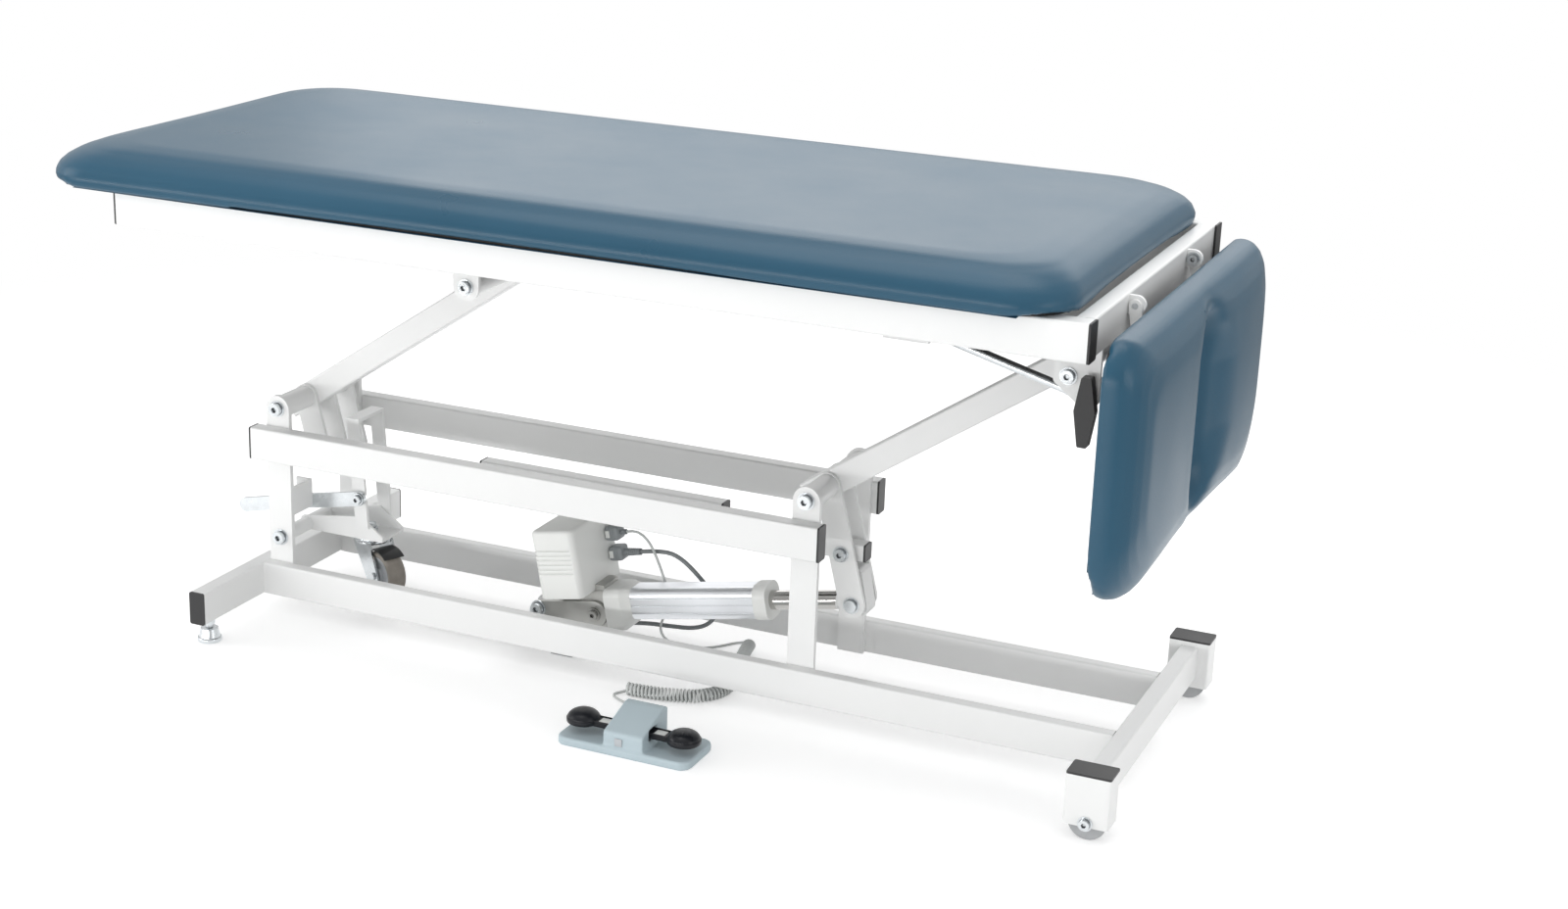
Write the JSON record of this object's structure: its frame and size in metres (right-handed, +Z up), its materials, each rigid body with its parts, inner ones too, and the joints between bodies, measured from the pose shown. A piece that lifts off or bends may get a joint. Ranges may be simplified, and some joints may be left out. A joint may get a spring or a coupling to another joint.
{
  "type": "hi-lo treatment table",
  "caption": "Powered height-adjustable treatment table on a two-arm parallel lift, with a padded top and a tilting nose section.",
  "frame": {"origin": "on the floor, under the middle of the bounding box at the rest height", "axes": "+X towards the head end with the nose section, -Y the front with the foot control, +Z up"},
  "size_m": [1.601, 0.686, 0.7392],
  "materials": {
    "white_steel": "smooth white powder coat",
    "blue_vinyl": "soft satin upholstery vinyl",
    "black_plastic": "fine-textured moulded plastic",
    "zinc_steel": "bright zinc plate",
    "board": "black-sealed plywood",
    "housing_grey": "light grey moulded plastic",
    "cast_grey": "die-cast, satin",
    "aluminium": "anodised, grooved",
    "chrome_rod": "ground and plated",
    "control_grey": "blue-grey moulded plastic",
    "cord_grey": "grey cord sheath",
    "connector_grey": "grey moulded connector",
    "roller_grey": "hard grey tread",
    "wheel_brown": "grey-brown rubber tyre"
  },
  "bodies": {
    "base": {"foot_cross_tube": "white_steel", "head_cross_tube": "white_steel", "base_rail_front": "white_steel", "base_rail_rear": "white_steel", "roller_stub_front": "white_steel", "roller_stub_rear": "white_steel", "foot_post_front": "white_steel", "foot_post_rear": "white_steel", "head_post_front": "white_steel", "head_post_rear": "white_steel", "upper_rail_front": "white_steel", "upper_rail_rear": "white_steel", "actuator_mount": "white_steel", "lever_bracket": "white_steel", "base_caps": "black_plastic", "base_bolts": "zinc_steel", "levelling_feet": "zinc_steel", "pedal_housing": "control_grey", "mains_cord": "cord_grey", "mains_coil": "cord_grey", "mains_plug": "connector_grey", "control_cord": "cord_grey", "control_curl": "cord_grey"},
    "front_roller": {"roller_front": "roller_grey"},
    "rear_roller": {"roller_rear": "roller_grey"},
    "foot_arm": {"foot_arm": "white_steel", "foot_levers": "white_steel"},
    "head_arm": {"head_arm": "white_steel", "head_levers": "white_steel", "actuator_pin": "zinc_steel"},
    "tie": {"tie_bar": "white_steel", "tie_caps": "black_plastic", "tie_bolts": "zinc_steel"},
    "actuator": {"motor_box": "housing_grey", "gear_housing": "cast_grey", "actuator_sleeve": "aluminium", "sleeve_collars": "housing_grey", "cord_connectors": "connector_grey"},
    "piston": {"piston_rod": "chrome_rod"},
    "top": {"top_rail_front": "white_steel", "top_rail_rear": "white_steel", "cross_members": "white_steel", "top_caps": "black_plastic", "arm_brackets": "white_steel", "top_bolts": "zinc_steel", "deck_board": "board", "main_cushion": "blue_vinyl", "hinge_tabs": "white_steel", "lock_body": "white_steel"},
    "nose": {"nose_board": "board", "nose_cushion": "blue_vinyl", "nose_hinges": "white_steel"},
    "release_handle": {"release_handle": "black_plastic"},
    "release_rod": {"release_rod": "zinc_steel"},
    "caster_arm": {"caster_arm": "white_steel"},
    "caster_lever": {"caster_lever": "zinc_steel"},
    "caster_fork": {"caster_fork": "zinc_steel"},
    "caster_wheel": {"caster_wheel": "wheel_brown"},
    "left_treadle": {"treadle_left": "black_plastic"},
    "right_treadle": {"treadle_right": "black_plastic"}
  },
  "joints": [
    {"name": "lift", "type": "hinge", "parent": "base", "child": "head_arm", "pos_m": [0.28733, 0, 0.3265], "axis": [0, -1, 0], "range_deg": [-34.08, 30.9]},
    {"name": "foot_arm_swing", "type": "hinge", "parent": "base", "child": "foot_arm", "pos_m": [-0.57097, 0, 0.3265], "axis": [0, -1, 0], "range_deg": [-34.08, 30.9]},
    {"name": "top_levels", "type": "hinge", "parent": "head_arm", "child": "top", "pos_m": [0.668, 0, 0.58404], "axis": [0, -1, 0], "range_deg": [-30.9, 34.08]},
    {"name": "tie_bar_levels", "type": "hinge", "parent": "head_arm", "child": "tie", "pos_m": [0.31254, 0, 0.22973], "axis": [0, -1, 0], "range_deg": [-30.9, 34.08]},
    {"name": "actuator_tilts", "type": "hinge", "parent": "base", "child": "actuator", "pos_m": [-0.1645, 0, 0.0595], "axis": [0, -1, 0], "range_deg": [-0.3, 0.27]},
    {"name": "rod_slides", "type": "slide", "parent": "actuator", "child": "piston", "axis": [0.9814, 0, 0.1918], "range_m": [-0.1, 0.091]},
    {"name": "nose_tilts", "type": "hinge", "parent": "top", "child": "nose", "pos_m": [0.7335, 0, 0.67204], "axis": [0, -1, 0], "range_deg": [0, 120]},
    {"name": "handle_turns", "type": "hinge", "parent": "top", "child": "release_handle", "pos_m": [0.697, -0.2, 0.562], "axis": [0, 1, 0], "range_deg": [0, 25], "stiffness_Nm_per_rad": 0.9, "springref_deg": -20.05},
    {"name": "release_rod_pulls", "type": "slide", "parent": "top", "child": "release_rod", "axis": [-0.9662, 0, 0.258], "range_m": [0, 0.00406]},
    {"name": "caster_lifts", "type": "hinge", "parent": "base", "child": "caster_arm", "pos_m": [-0.57097, 0, 0.123], "axis": [0, 1, 0], "range_deg": [0, 9]},
    {"name": "caster_lever_turns", "type": "hinge", "parent": "base", "child": "caster_lever", "pos_m": [-0.56597, -0.04, 0.164], "axis": [0, 1, 0], "range_deg": [0, 9.6]},
    {"name": "caster_swivels", "type": "hinge", "parent": "caster_arm", "child": "caster_fork", "pos_m": [-0.47257, 0, 0.11], "axis": [0, 0, 1], "continuous": true},
    {"name": "caster_wheel_rolls", "type": "hinge", "parent": "caster_fork", "child": "caster_wheel", "pos_m": [-0.43994, -0.01521, 0.059], "axis": [0.4226, 0.9063, 0], "continuous": true},
    {"name": "front_roller_rolls", "type": "hinge", "parent": "base", "child": "front_roller", "pos_m": [0.75493, -0.252, 0.026], "axis": [0, 1, 0], "continuous": true},
    {"name": "rear_roller_rolls", "type": "hinge", "parent": "base", "child": "rear_roller", "pos_m": [0.75493, 0.252, 0.026], "axis": [0, 1, 0], "continuous": true},
    {"name": "left_treadle_presses", "type": "hinge", "parent": "base", "child": "left_treadle", "pos_m": [0.106, -0.288, 0.0285], "axis": [0, -1, 0], "range_deg": [0, 6], "stiffness_Nm_per_rad": 1.5, "springref_deg": -8.02},
    {"name": "right_treadle_presses", "type": "hinge", "parent": "base", "child": "right_treadle", "pos_m": [0.142, -0.288, 0.0285], "axis": [0, 1, 0], "range_deg": [0, 6], "stiffness_Nm_per_rad": 1.5, "springref_deg": -8.02}
  ],
  "couplings": [
    {"joint": "foot_arm_swing", "follows": "lift", "ratio": 1},
    {"joint": "top_levels", "follows": "lift", "ratio": -1},
    {"joint": "tie_bar_levels", "follows": "lift", "ratio": -1},
    {"joint": "actuator_tilts", "follows": "lift", "ratio": 0.008},
    {"joint": "rod_slides", "follows": "lift", "m_per_rad": 0.1665},
    {"joint": "handle_turns", "follows": "release_rod_pulls", "rad_per_m": 107.31},
    {"joint": "caster_lever_turns", "follows": "caster_lifts", "ratio": 1.0519}
  ]
}
